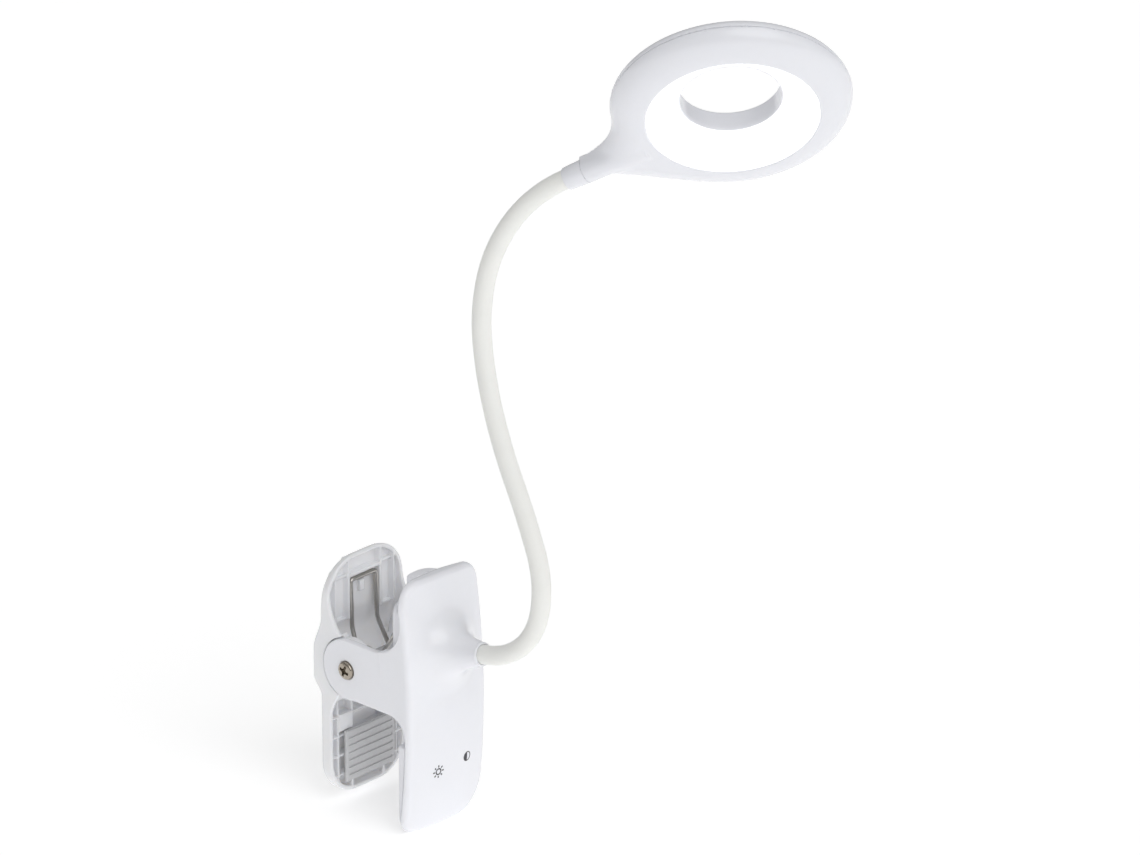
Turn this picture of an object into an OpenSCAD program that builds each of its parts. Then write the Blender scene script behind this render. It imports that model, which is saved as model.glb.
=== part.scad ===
// Clip-on reading lamp: a sprung clip with a battery body, a gooseneck and a ring-shaped light head.
// Millimetres. +Z is up, +X runs across the clip and the face of the clip looks along -Y.
// The origin is the middle of the front jaw pad's gripping face, and +Y runs into what the clip holds.

/* [Clip body] */
// Width of the front shell over its ears
clip_w = 41; // [40:0.5:42]
// Lowest point of the front shell
body_low = -21.6; // [-22.2:0.2:-21]
// Highest point of the front shell
body_high = 79; // [78:0.5:81]
// Middle of the front face, forward of the gripping face
face_out = 9.3; // [9:0.1:10]
// Wall thickness of the moulded shells
wall = 2; // [1.8:0.1:2.2]
// How far the front face falls away towards its sides
side_crown = 2.4; // [2:0.1:2.6]

/* [Pivot] */
// Pivot axis, behind the gripping face
pivot_y = 25; // [24:0.5:27]
// Pivot axis, above the middle of the gripping face
pivot_z = 37.5; // [36.5:0.5:38.5]
// Radius of the ears round the pivot
ear_r = 12; // [11.7:0.1:12.2]
// Thickness of each ear
ear_t = 2.5; // [2.2:0.1:2.6]
// Outer radius of the steel pivot sleeve
sleeve_r = 3; // [2.8:0.1:3.2]
// Diameter of the spring wire
spring_wire = 1.7; // [1.5:0.1:1.8]

/* [Gooseneck] */
// Outer diameter of the silicone sleeve
neck_d = 7.2; // [6.8:0.1:7.4]
// Upward tilt of the neck's socket in the front face
socket_tilt = 12; // [10:1:15]
// Length of each section of the neck, from the clip to the head
neck_len = [18, 20, 24, 26, 26, 26, 26, 26, 26];
// How far each section is bent upwards or backwards, in degrees
neck_bend = [30, 37, 32, 7, -8, -11, -17, -22, -23];
// How far each section is bent sideways, in degrees
neck_side = [0, 0, 0, 1, 1, 0, 7, 10, 13];

/* [Head] */
// Distance from the end of the neck to the middle of the ring
reach = 69; // [67:1:72]
// Turn of the head about the end of the neck
head_roll = -23; // [-30:1:-15]
// Outer radius of the ring
ring_r = 43.4; // [43:0.2:44]
// Radius of the diffuser's outer edge
lens_r = 31.8; // [31.4:0.2:32]
// Radius of the hole through the ring
hole_r = 18.3; // [18:0.1:18.6]

/* [Hidden] */
$fn = 72;
big_fn = 360;
half_w = clip_w / 2;
ear_in = half_w - ear_t;
face_y = -face_out;
rim_y = face_y + 4.6;
bow_r = 300;
bow_z = 25;
cover_y = -0.4;
seam_gap = 0.4;

// Inner cover
cover_t = 1.6;
cover_half_low = half_w - 0.5;
cover_half_high = ear_in - 0.4;
cover_step_z = 15;
cover_shoulder_z = 66.5;
hump_y = 5;
hump_low = 50;
hump_high = 70.5;
hump_half = 17.2;
ridge = [-9.7, 9];
cover_top = body_high - 1.5;
pad_half = 13;
pad_rise = 14;
pad_t = 1.5;
screw_spots = [[-13, 20], [13, 20], [-13, 44], [13, 44]];
post_r = 2.5;

// Touch spots, charging socket and board
touch_x = 8;
touch_z = 3.3;
board_y = -3.8;
board_t = 0.8;
board_half = 12;
board_half_top = 9.5;
board_top = 40;
board_step = 16;
usb_z = 4.5;
usb = [7.3, 3.1, 8.9];
usb_y = -5.2;
cell = [28.4, 5, 15.8];
cell_low = 52.3;

// Lever, measured from the pivot
lever_half = half_w - 0.5;
lever_top = 39;
lever_low = -56;
cheek_in = 15.2;
cheek_out = ear_in - 0.2;
recess_r = ear_r + 0.5;
rib_t = 1.2;
rib_x = 8.4;
outer_rib_x = 15.4;

// Spring, measured from the pivot
coil_r = 5.5;
coil_turns = 3 + 123 / 360;
coil_start = 217;
coil_x = [14.1, 8];
bridge_x = 6.6;
bridge = [10.95, 28.6];
leg_turn = 9.7;
foot = [-19, 18];

// Neck
neck_r = neck_d / 2;
bore_r = 2.5;
core_r = 2.45;
core_bore = 1.3;
lead_r = 0.9;
ball_gap = 0.2;
core_gap = 3.4;
fit = 0.02;
overlap = 0.3;
neck_lead_in = 2.7;
socket_depth = 6;
socket_pos = [0, -25.57, 52.87];
sections = len(neck_len);
last = sections - 1;

// Head, measured from the middle of the ring, with the light on the -Z side
rim_z = -4.5;
edge_z = 4.2;
hole_z = 5.2;
top_z = 10.9;
seam_z = 3.6;
shell_t = 1.8;
collar_len = 8;
collar_r = 4.4;
chips = 24;
chip_ring = 26;

// ---- Shared helpers ----

// A side profile drawn as [y, z], made w wide across the clip
module across(w) rotate([90, 0, 90]) linear_extrude(w, center = true) children();

// A front outline drawn as [x, z], made solid from y0 back to y1
module front_view(y0, y1) translate([0, y1, 0]) rotate([90, 0, 0]) linear_extrude(y1 - y0) children();

module at_pivot() translate([0, pivot_y, pivot_z]) children();

module both_sides() {
    children();
    mirror([1, 0, 0]) children();
}

// A round-cornered outline from low to high, with its own corner radius at each end
module slab(half, low, high, r_low, r_high) {
    translate([-half, low + r_low]) square([2 * half, high - low - r_low - r_high]);
    translate([-half + r_low, low]) square([2 * (half - r_low), r_low + 0.01]);
    translate([-half + r_high, high - r_high - 0.01]) square([2 * (half - r_high), r_high + 0.01]);
    for (s = [-1, 1]) {
        translate([s * (half - r_low), low + r_low]) circle(r_low);
        translate([s * (half - r_high), high - r_high]) circle(r_high);
    }
}

// An outline with a tight lower corner on one side, a wide one on the other and equal upper corners
module body_outline(half, low, high, r_left, r_right, r_high) hull() {
    translate([-half + r_left, low + r_left]) circle(r_left);
    translate([half - r_right, low + r_right]) circle(r_right);
    for (s = [-1, 1]) translate([s * (half - r_high), high - r_high]) circle(r_high);
}

// A solid cylinder along +X from x0 to x1, on the pivot
module pivot_rod(x0, x1, r) translate([x0, 0, 0]) rotate([0, 90, 0]) cylinder(h = x1 - x0, r = r);

// ---- Frames along the neck ----

function mat_move(v) = [[1, 0, 0, v[0]], [0, 1, 0, v[1]], [0, 0, 1, v[2]], [0, 0, 0, 1]];
function mat_rx(a) = [[1, 0, 0, 0], [0, cos(a), -sin(a), 0], [0, sin(a), cos(a), 0], [0, 0, 0, 1]];
function mat_ry(a) = [[cos(a), 0, sin(a), 0], [0, 1, 0, 0], [-sin(a), 0, cos(a), 0], [0, 0, 0, 1]];
function mat_rz(a) = [[cos(a), -sin(a), 0, 0], [sin(a), cos(a), 0, 0], [0, 0, 1, 0], [0, 0, 0, 1]];

// Each section is one arc: its total angle, the way it curves and its radius
function arc_angle(i) = norm([neck_bend[i], neck_side[i]]);
function arc_way(i) = atan2(neck_bend[i], neck_side[i]);
function arc_r(i) = neck_len[i] / (arc_angle(i) * PI / 180);

// The frame of the socket has +Z along the neck, +Y upwards and +X across the clip
socket_frame = mat_move(socket_pos) * mat_rx(90 - socket_tilt);
function section_step(i) =
    mat_rz(arc_way(i))
    * mat_move([arc_r(i) * (1 - cos(arc_angle(i))), 0, arc_r(i) * sin(arc_angle(i))])
    * mat_ry(arc_angle(i)) * mat_rz(-arc_way(i));
function section_frame(i) =
    i == 0 ? socket_frame * mat_move([0, 0, neck_lead_in]) : section_frame(i - 1) * section_step(i - 1);

// The head's frame has +X from the neck to the ring's middle and the light on its -Z side
head_frame =
    section_frame(sections) * mat_rz(head_roll) * mat_move([0, 0, reach])
    * [[0, 1, 0, 0], [0, 0, 1, 0], [1, 0, 0, 0], [0, 0, 0, 1]];

module at_socket() multmatrix(socket_frame) children();
module at_section(i) multmatrix(section_frame(i)) children();
module at_head() multmatrix(head_frame) children();

// A stretch of round tube that follows section i between two distances along it
module arc_tube(i, r_out, r_in, from, to) {
    turn = arc_angle(i) / neck_len[i];
    rotate([0, 0, arc_way(i)]) translate([arc_r(i), 0, 0]) rotate([90, 0, 180])
        rotate([0, 0, from * turn]) rotate_extrude(angle = (to - from) * turn)
            translate([arc_r(i), 0]) difference() {
                circle(r_out);
                if (r_in > 0) circle(r_in);
            }
}

module tube(r_out, r_in, z0, z1) translate([0, 0, z0]) difference() {
    cylinder(h = z1 - z0, r = r_out);
    if (r_in > 0) translate([0, 0, -1]) cylinder(h = z1 - z0 + 2, r = r_in);
}

// ---- Front body ----

// Everything behind a surface that bows back towards the top and the bottom
module behind(y) translate([0, y + bow_r, bow_z]) rotate([0, 90, 0])
    cylinder(h = 3 * half_w, r = bow_r, center = true, $fn = 2 * big_fn);

// Everything behind the front face, which also falls away to its sides
module behind_face(inset) {
    side_r = (half_w * half_w + side_crown * side_crown) / (2 * side_crown);
    intersection() {
        translate([0, face_y + side_r, body_low - 5])
            cylinder(h = body_high - body_low + 10, r = side_r - inset, $fn = big_fn);
        behind(face_y + inset);
    }
}

module ear_profile() {
    top_fillet = 16;
    low_fillet = 8.5;
    low_edge = -11.5;
    root_y = face_y - pivot_y;
    rim = rim_y - pivot_y;
    circle(ear_r);
    difference() {
        translate([root_y, low_edge - low_fillet])
            square([-root_y, ear_r + top_fillet + low_fillet - low_edge]);
        translate([rim + top_fillet, ear_r + top_fillet]) circle(top_fillet);
        translate([rim + top_fillet, ear_r]) square([-rim - top_fillet + 1, top_fillet + 1]);
        translate([rim + low_fillet, low_edge - low_fillet]) circle(low_fillet);
        translate([rim + low_fillet, low_edge - low_fillet - 1]) square([-rim, low_fillet + 1]);
    }
}

// The flared outside of the neck's socket, with its rim at z = 0
module socket_flare() {
    lip = 1.5;
    lip_r = 4.6;
    flare = [6.5, 15.8];
    steps = 10;
    rotate_extrude() polygon(concat(
        [[0, 0], [lip_r, 0], [lip_r, -lip]],
        [for (k = [1:steps]) let (a = 90 * k / steps)
            [lip_r + flare[0] * (1 - cos(a)), -lip - flare[1] * sin(a)]],
        [[0, -lip - flare[1]]]));
}

module front_shell() color("white") {
    seat_r = 8;
    seat_z = -20.5;
    difference() {
        union() {
            difference() {
                intersection() {
                    behind_face(0);
                    union() {
                        difference() {
                            front_view(face_y, 0) body_outline(half_w, body_low, body_high, 7, 14, 9);
                            behind(rim_y);
                        }
                        at_pivot() for (s = [-1, 1])
                            translate([s * (half_w - ear_t / 2), 0, 0]) across(ear_t) ear_profile();
                    }
                }
                intersection() {
                    behind_face(wall);
                    front_view(face_y, 1)
                        body_outline(half_w - ear_t, body_low + wall, body_high - wall, 5, 12, 7);
                }
            }
            difference() {
                at_socket() socket_flare();
                behind(face_y + wall / 2);
            }
            at_socket() translate([0, 0, seat_z]) cylinder(h = 5, r = seat_r);
            for (p = screw_spots) translate([p[0], face_y + 1.4, p[1]]) rotate([-90, 0, 0])
                cylinder(h = cover_y - cover_t - face_y - 1.6, r = post_r);
        }
        at_socket() tube(neck_r + 0.05, 0, -socket_depth, 1);
        at_socket() tube(3.1, 0, seat_z - 1, -socket_depth + 0.5);
        for (p = screw_spots) translate([p[0], face_y + wall + 0.6, p[1]]) rotate([-90, 0, 0])
            cylinder(h = 10, r = 0.95);
        at_pivot() pivot_rod(-half_w - 1, half_w + 1, 1.75);
        at_pivot() both_sides() pivot_rod(half_w - 0.6, half_w + 1, 4.1);
        usb_opening();
    }
}

module usb_opening() translate([board_half - 0.2, usb_y - 0.1, usb_z - usb[2] / 2 - 0.2])
    cube([10, usb[1] + 0.2, usb[2] + 0.4]);

module cover_outline(inset) {
    body_outline(cover_half_low - inset, body_low + 1.5 + inset, cover_step_z - inset, 6 - inset, 13 - inset, 1);
    slab(cover_half_high - inset, cover_step_z - 10, cover_top - 3, 1, 2);
    slab(cover_half_low - inset, cover_shoulder_z + inset, cover_top - inset, 1, 5.5 - inset);
}

// The raised compartment: wide over the battery, with a lopsided arched ridge on top
module hump_outline(inset) {
    low = ridge[0] + inset;
    wide = ridge[1] - ridge[0] - 2 * inset;
    slab(hump_half - inset, hump_low + inset, hump_high - inset, 3, 5 - inset);
    polygon(concat(
        [[low + wide, hump_high - 8], [low, hump_high - 8]],
        [for (k = [0:12]) let (x = low + wide * k / 12) [x, cover_top + 1.1 - inset - (x + 5) ^ 2 / 45]]));
}

module inner_cover() color("whitesmoke") {
    difference() {
        union() {
            intersection() {
                front_view(rim_y, cover_y) cover_outline(0);
                behind(rim_y + seam_gap);
            }
            front_view(cover_y - 0.1, 1) intersection() {
                hump_outline(0.05);
                slab(cover_half_low, 0, body_high - wall - 0.2, 1, 1);
            }
            front_view(0.2, hump_y) hump_outline(0);
        }
        front_view(rim_y, cover_y - cover_t) cover_outline(cover_t);
        front_view(rim_y, hump_y - cover_t) hump_outline(cover_t);
        front_view(-pad_t, 1) square([2 * pad_half, 2 * pad_rise], center = true);
        usb_opening();
        for (p = screw_spots) translate([p[0], 0, p[1]]) rotate([90, 0, 0]) {
            cylinder(h = 8, r = 1.2);
            translate([0, 0, -cover_y]) cylinder(h = 1.2, r1 = 2.5, r2 = 1.2);
        }
    }
}

module front_jaw_pad() color("gainsboro")
    front_view(-pad_t, 0) square([2 * pad_half - 0.2, 2 * pad_rise - 0.2], center = true);

module cover_screws() color("silver")
    for (p = screw_spots) translate([p[0], cover_y, p[1]]) rotate([90, 0, 0]) difference() {
        union() {
            translate([0, 0, 0.1]) cylinder(h = 1.1, r1 = 2.3, r2 = 1.1);
            cylinder(h = 5.6, r = 0.9);
        }
        cylinder(h = 1.6, r = 0.8, center = true, $fn = 4);
    }

module battery() color("silver")
    translate([-cell[0] / 2, hump_y - cover_t - 0.2 - cell[1], cell_low]) cube(cell);

module control_board() color("darkgreen") {
    low = -6;
    translate([-board_half, board_y, low]) cube([2 * board_half, board_t, board_step - low]);
    translate([-board_half_top, board_y, board_step - 0.01])
        cube([2 * board_half_top, board_t, board_top - board_step]);
    translate([-8, board_y - 1, 20]) cube([7, 1, 7]);
    translate([2, board_y - 1, 18]) cube([5, 1, 4]);
    translate([3, board_y - 1, 30]) cube([4, 1, 4]);
    translate([-7, board_y - 1, -4]) cube([3, 1, 2]);
}

module touch_springs() color("goldenrod") {
    spring_h = 1.6;
    for (s = [-1, 1]) translate([s * (touch_x - 1), board_y, touch_z]) rotate([90, 0, 0]) difference() {
        cylinder(h = spring_h, r1 = 2.2, r2 = 2.6);
        translate([0, 0, -1]) cylinder(h = spring_h + 2, r = 1.6);
    }
}

module charging_socket() color("silver")
    translate([board_half + 0.1, usb_y, usb_z - usb[2] / 2]) difference() {
        cube(usb);
        translate([1.5, 0.35, 0.35]) cube([usb[0], usb[1] - 0.7, usb[2] - 0.7]);
    }

module battery_leads() color("firebrick")
    for (x = [7, 8.8]) translate([x, board_y + board_t / 2, board_top]) {
        cylinder(h = 14, r = 0.6);
        translate([0, 0, 13.4]) rotate([-90, 0, 0]) cylinder(h = 1.5, r = 0.58);
    }

// ---- Pivot and spring ----

module pivot_sleeve() color("silver") at_pivot() difference() {
    pivot_rod(-ear_in, ear_in, sleeve_r);
    pivot_rod(-ear_in - 1, ear_in + 1, 1.55);
}

module pivot_screws() color("rosybrown") at_pivot() both_sides() {
    head_h = 2.2;
    seat = half_w - 0.6;
    difference() {
        union() {
            pivot_rod(seat - 9, seat + 0.1, 1.5);
            pivot_rod(seat, seat + head_h - 1, 3.8);
            translate([seat + head_h - 1, 0, 0]) rotate([0, 90, 0]) cylinder(h = 1, r1 = 3.8, r2 = 2.5);
        }
        for (a = [0, 90]) translate([seat + head_h, 0, 0]) rotate([a, 0, 0])
            cube([2.6, 4, 1], center = true);
    }
}

// Points of the spring's wire from its foot on the cover, round one coil, to the middle of the bridge
function spring_half(s) = concat(
    [[s * coil_x[0], foot[0], foot[1]]],
    [for (k = [0:ceil(coil_turns * 14)]) let (f = k / ceil(coil_turns * 14), a = coil_start + 360 * coil_turns * f)
        [s * (coil_x[0] + (coil_x[1] - coil_x[0]) * f), coil_r * cos(a), coil_r * sin(a)]],
    [[s * (bridge_x + 0.1), bridge[0] - 0.8, leg_turn - 0.6], [s * bridge_x, bridge[0] - 0.4, leg_turn + 0.6],
     [s * bridge_x, bridge[0], bridge[1] - 1.5], [s * (bridge_x - 1.5), bridge[0], bridge[1]]]);
function reversed(p) = [for (k = [len(p) - 1:-1:0]) p[k]];
function unit(v) = v / norm(v);

// A round tube of eight sides swept along points
module swept_tube(points, r) {
    sides = 8;
    count = len(points);
    heading = [for (k = [0:count - 1])
        unit(points[min(k + 1, count - 1)] - points[max(k - 1, 0)])];
    across_axis = [1, 0, 0];
    rings = [for (k = [0:count - 1])
        let (
            side = unit(cross(heading[k], abs(heading[k] * across_axis) > 0.8 ? [0, 0, 1] : across_axis)),
            up = cross(heading[k], side),
            sharp = k == 0 || k == count - 1 ? 1
                : 1 / max(0.7, heading[k] * unit(points[k + 1] - points[k])))
        for (j = [0:sides - 1]) points[k] + r * sharp
            * (side * cos(360 * j / sides) + up * sin(360 * j / sides))];
    polyhedron(rings, concat(
        [[for (j = [sides - 1:-1:0]) j]],
        [for (k = [0:count - 2], j = [0:sides - 1])
            [k * sides + j, k * sides + (j + 1) % sides,
             (k + 1) * sides + (j + 1) % sides, (k + 1) * sides + j]],
        [[for (j = [0:sides - 1]) (count - 1) * sides + j]]));
}

module torsion_spring() color("dimgray") at_pivot()
    swept_tube(concat(spring_half(-1), reversed(spring_half(1))), spring_wire / 2);

// ---- Rear lever, drawn from the pivot ----

module lever_side() polygon([
    [9.8, lever_top], [13.8, lever_top], [13.8, 17], [15, 11.5], [16.7, 7], [17.8, 2.5], [17.8, -6],
    [17, -9.5], [14.4, -13.5], [13.9, -16], [13.9, lever_low], [9, lever_low], [9, -22], [6.8, -16],
    [4.8, -11.5], [1.5, -5], [1.5, 9.2], [3.6, 11.6], [5.6, 14.4], [7.6, 17.8], [9.1, 22.2], [9.8, 27]]);

module lever_hollow() polygon([
    [-5, lever_top - wall], [12.1, lever_top - wall], [12.1, 17.2], [13.3, 11.9], [15, 7.2],
    [16.1, 2.2], [16.1, -5.8], [15.4, -9.1], [12.8, -13.2], [12.2, -15.8], [12.2, lever_low + wall],
    [-5, lever_low + wall]]);

module lever_front(inset)
    slab(lever_half - inset, lever_low + inset, lever_top - inset, 14 - inset, 12.5 - inset);

module lever_ribs() {
    upper = [14, lever_top - 1];
    lower = [lever_low + 1, -16];
    for (s = [-1, 1]) {
        translate([s * rib_x - rib_t / 2, 9.9, upper[0]]) cube([rib_t, 3.3, upper[1] - upper[0]]);
        translate([s * rib_x - rib_t / 2, 9.1, lower[0]]) cube([rib_t, 4, lower[1] - lower[0]]);
        translate([s * outer_rib_x - rib_t / 2, 9.9, 14]) cube([rib_t, 3.3, 24]);
    }
    translate([-rib_x, 10.4, 30.2]) cube([2 * rib_x, 2.4, 1.6]);
    for (z = [-24, -32, -40, -48]) translate([-lever_half + 1, 9.1, z])
        cube([2 * lever_half - 2, 4, rib_t]);
    translate([0, 10.9, 24.6]) rotate([-90, 0, 0]) cylinder(h = 3, r = 1.5);
    for (s = [-1, 1]) translate([s * (rib_x + outer_rib_x) / 2, 9.1, -26]) rotate([-90, 0, 0])
        linear_extrude(4) square([outer_rib_x - rib_x, 7], center = true);
}

module rear_lever() color("white") at_pivot() difference() {
    union() {
        difference() {
            intersection() {
                across(2 * lever_half) lever_side();
                front_view(-5, 20) lever_front(0);
            }
            intersection() {
                across(2 * lever_half) lever_hollow();
                front_view(-10, 20) lever_front(wall);
                union() {
                    translate([-cheek_in, -20, -80]) cube([2 * cheek_in, 60, 160]);
                    translate([-30, -20, 13.5]) cube([60, 60, 60]);
                    translate([-30, -20, -80]) cube([60, 60, 65]);
                }
            }
        }
        for (s = [-1, 1]) translate([s * (cheek_in + cheek_out) / 2, 0, 0]) rotate([0, 90, 0])
            cylinder(h = cheek_out - cheek_in, r = ear_r - 0.3, center = true);
        intersection() {
            lever_ribs();
            across(2 * lever_half) lever_side();
            front_view(-5, 20) lever_front(0.5);
        }
    }
    pivot_rod(-30, 30, sleeve_r + 0.05);
    for (s = [-1, 1]) translate([s * (cheek_out + 5), 0, 0]) rotate([0, 90, 0])
        cylinder(h = 10, r = recess_r, center = true);
}

module rear_jaw_pad() color("gainsboro") at_pivot()
    translate([-pad_half, 7.7, lever_low + 5]) cube([2 * pad_half, 1.38, 21]);

// ---- Gooseneck ----

module neck_ferrule() color("silver") at_socket() tube(3, core_bore, -22.9, -socket_depth);

module neck_nut() color("silver") at_socket() translate([0, 0, -22.7]) difference() {
    cylinder(h = 2.2, r = 5.6, $fn = 6);
    translate([0, 0, -1]) cylinder(h = 5, r = 3.05);
}

// Half a ball at the end of section i, bored for the core
module ball_end(i) at_section(i + 1) rotate_extrude() intersection() {
    union() {
        circle(neck_r - fit);
        translate([0, -overlap]) square([neck_r - fit, overlap]);
    }
    translate([bore_r + fit, -overlap]) square([neck_r, neck_r + overlap]);
}

// A straight tube that carries on from the end of an arc, a hair thinner so that the two join cleanly
module tail(r_out, r_in, length) tube(r_out - fit, r_in > 0 ? r_in + fit : 0, -overlap, length);

module neck_sleeve(i) color("ivory") {
    if (i == 0) at_section(0) mirror([0, 0, 1]) tail(neck_r, bore_r, socket_depth + neck_lead_in);
    if (i == last) at_section(sections) tail(neck_r, bore_r, socket_depth);
    difference() {
        at_section(i) arc_tube(i, neck_r, bore_r, 0, neck_len[i]);
        if (i > 0) at_section(i) sphere(neck_r + ball_gap);
    }
    if (i < last) ball_end(i);
}

module neck_core(i) color("gray") {
    stub = 0.8;
    if (i == 0) at_section(0) mirror([0, 0, 1]) tail(core_r, core_bore, socket_depth + neck_lead_in);
    at_section(i) arc_tube(i, core_r, core_bore, i == 0 ? 0 : core_gap, neck_len[i]);
    at_section(i + 1) tail(core_r, core_bore, i == last ? socket_depth : stub);
}

module neck_lead(i) color("firebrick") {
    end_gap = 0.5;
    if (i == 0) at_section(0) mirror([0, 0, 1]) tail(lead_r, 0, 22.3 + neck_lead_in);
    at_section(i) arc_tube(i, lead_r, 0, i == 0 ? 0 : end_gap, i == last ? neck_len[i] : neck_len[i] - end_gap);
    if (i == last) at_section(sections) tail(lead_r, 0, socket_depth);
}

// ---- Head ----

// A piece of revolution about the line of the stem, from x0 to x1 in the head's frame
module on_stem(x0) translate([x0, 0, 0]) rotate([0, 90, 0]) children();

module neck_collar() color("white") at_head() on_stem(-reach) difference() {
    cylinder(h = collar_len, r1 = collar_r - 0.3, r2 = collar_r);
    translate([0, 0, -1]) cylinder(h = socket_depth + 1.05, r = neck_r + 0.05);
    cylinder(h = collar_len + 1, r = 3.1);
}

module head_ferrule() color("silver") at_head() on_stem(-reach + socket_depth) tube(3, core_bore, 0.05, 10);

module head_lead() color("firebrick") at_head() {
    start = socket_depth - reach;
    rise = -33.6;
    on_stem(start) cylinder(h = rise + lead_r - start, r = lead_r);
    translate([rise, 0, 0]) cylinder(h = 7.15, r = lead_r - fit);
}

// Outside of the ring, as [radius, height]
module ring_outside() polygon(concat(
    [[hole_r, rim_z], [lens_r, rim_z]],
    [for (k = [1:6]) let (a = 90 * k / 6)
        [lens_r + (ring_r - lens_r) * sin(a), edge_z - (edge_z - rim_z) * cos(a)]],
    [for (k = [1:6]) let (a = 90 * k / 6)
        [ring_r - 9 * (1 - cos(a)), edge_z + (top_z - 0.7 - edge_z) * sin(a)]],
    [[28, top_z], [hole_r, top_z - 0.3]]));

module ring_inside() polygon(concat(
    [[hole_r + shell_t, rim_z + 2], [lens_r - 0.4, rim_z + 2]],
    [for (k = [1:5]) let (a = 90 * k / 5)
        [lens_r + (ring_r - shell_t - lens_r) * sin(a), edge_z - (edge_z - rim_z - 2) * cos(a)]],
    [for (k = [1:5]) let (a = 90 * k / 5)
        [ring_r - shell_t - 8 * (1 - cos(a)), edge_z + (top_z - 0.7 - shell_t - edge_z) * sin(a)]],
    [[28, top_z - shell_t], [hole_r + shell_t, top_z - shell_t - 0.3]]));

// The stem that carries the ring, shrunk by an inset
module stem(inset) hull() {
    on_stem(collar_len - reach) cylinder(h = 1, r = collar_r - inset, $fn = 32);
    translate([-ring_r + 2, 0, 2]) scale([1, 1, 0.5]) rotate([0, 90, 0])
        cylinder(h = 1, r = 13 - inset, $fn = 32);
}

module head_top_shell() color("white") at_head() difference() {
    rotate_extrude($fn = 96) intersection() {
        difference() {
            ring_outside();
            ring_inside();
        }
        union() {
            translate([lens_r, seam_z + 0.15]) square([20, 20]);
            translate([hole_r - 1, hole_z]) square([40, 10]);
        }
    }
    stem(-0.1);
}

module head_bezel() color("white") at_head() difference() {
    union() {
        rotate_extrude($fn = 96) intersection() {
            ring_outside();
            translate([lens_r - 0.5, rim_z - 1]) square([30, seam_z - rim_z + 1]);
        }
        stem(0);
    }
    rotate_extrude($fn = 96) ring_inside();
    stem(shell_t);
    on_stem(collar_len - reach - 1) cylinder(h = 11, r = 3.1);
    on_stem(-ring_r) cylinder(h = 6, r = 2.5);
}

// The diffuser is a shallow cone that rises from its outer edge to the hole
module diffuser() color("lightyellow") at_head() rotate_extrude($fn = 96) polygon([
    [lens_r - 0.6, rim_z + 0.6], [lens_r - 0.6, rim_z + 2.1], [hole_r + 0.1, hole_z - 0.1],
    [hole_r + 0.1, hole_z - 1.6]]);

module led_board() color("whitesmoke") at_head()
    translate([0, 0, 7.2]) tube(34, hole_r + shell_t + 0.3, 0, 1);

module led_chips() color("khaki") at_head() for (k = [0:chips - 1])
    rotate([0, 0, 360 * (k + 0.5) / chips]) translate([chip_ring - 1.4, -1.75, 6.6]) cube([2.8, 3.5, 0.6]);

front_shell();
inner_cover();
front_jaw_pad();
cover_screws();
battery();
control_board();
touch_springs();
charging_socket();
battery_leads();
pivot_sleeve();
pivot_screws();
torsion_spring();
rear_lever();
rear_jaw_pad();
neck_ferrule();
neck_nut();
for (i = [0:last]) {
    neck_sleeve(i);
    neck_core(i);
    neck_lead(i);
}
neck_collar();
head_ferrule();
head_lead();
head_top_shell();
head_bezel();
diffuser();
led_board();
led_chips();
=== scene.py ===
import math

import bpy
import numpy as np
from mathutils import Matrix, Vector


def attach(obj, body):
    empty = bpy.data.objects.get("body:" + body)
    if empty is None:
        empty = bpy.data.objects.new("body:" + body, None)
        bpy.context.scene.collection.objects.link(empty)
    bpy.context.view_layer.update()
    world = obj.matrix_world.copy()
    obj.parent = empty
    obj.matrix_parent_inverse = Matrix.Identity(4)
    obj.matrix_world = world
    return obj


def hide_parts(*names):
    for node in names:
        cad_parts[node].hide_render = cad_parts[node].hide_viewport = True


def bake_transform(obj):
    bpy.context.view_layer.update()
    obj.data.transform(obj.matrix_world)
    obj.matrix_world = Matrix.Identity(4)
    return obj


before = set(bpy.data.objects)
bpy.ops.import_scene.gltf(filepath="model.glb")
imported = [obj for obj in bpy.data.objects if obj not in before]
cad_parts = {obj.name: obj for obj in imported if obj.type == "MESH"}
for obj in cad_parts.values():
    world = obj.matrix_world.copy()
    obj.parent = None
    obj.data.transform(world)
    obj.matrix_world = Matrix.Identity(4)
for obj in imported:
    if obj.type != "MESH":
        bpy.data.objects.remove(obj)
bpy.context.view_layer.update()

# ---- Driving dimensions, in millimetres, in the frame of the CAD ----

MM = 0.001
PIVOT_Y, PIVOT_Z = 25.0, 37.5
HALF_W = 20.5
BODY_LOW, BODY_HIGH = -21.6, 79
BOW_Z, BOW_R = 25, 300
FACE_Y, RIM_Y, COVER_Y = -9.3, -4.7, -0.4
HUMP_Y = 5
EAR_IN = 18
EAR_R, RECESS_R = 12.0, 12.5
SLEEVE_BORE = 3.05
SOCKET_Y, SOCKET_Z, SOCKET_TILT = -25.57, 52.87, 12
USB_LOW, USB_HIGH = (15, -5.3, -0.15), (25, -2.0, 9.15)
PAD_HALF, PAD_RISE, PAD_T = 12.9, 13.9, 1.5
LEVER_HALF, LEVER_LOW, LEVER_HIGH = 20, -56, 39.2
RIB_X, OUTER_RIB_X = 8.4, 15.4
WIRE_R = 0.85
NECK_R, NECK_BORE, FERRULE_R = 3.6, 2.5, 3.1
RING_R, LENS_R, HOLE_R = 43.4, 31.8, 18.3
EDGE_Z, SEAM_Z = 4.2, 3.6
SHELL_T = 1.8


# ---- Solids as distance fields, in millimetres; negative is inside ----

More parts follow.
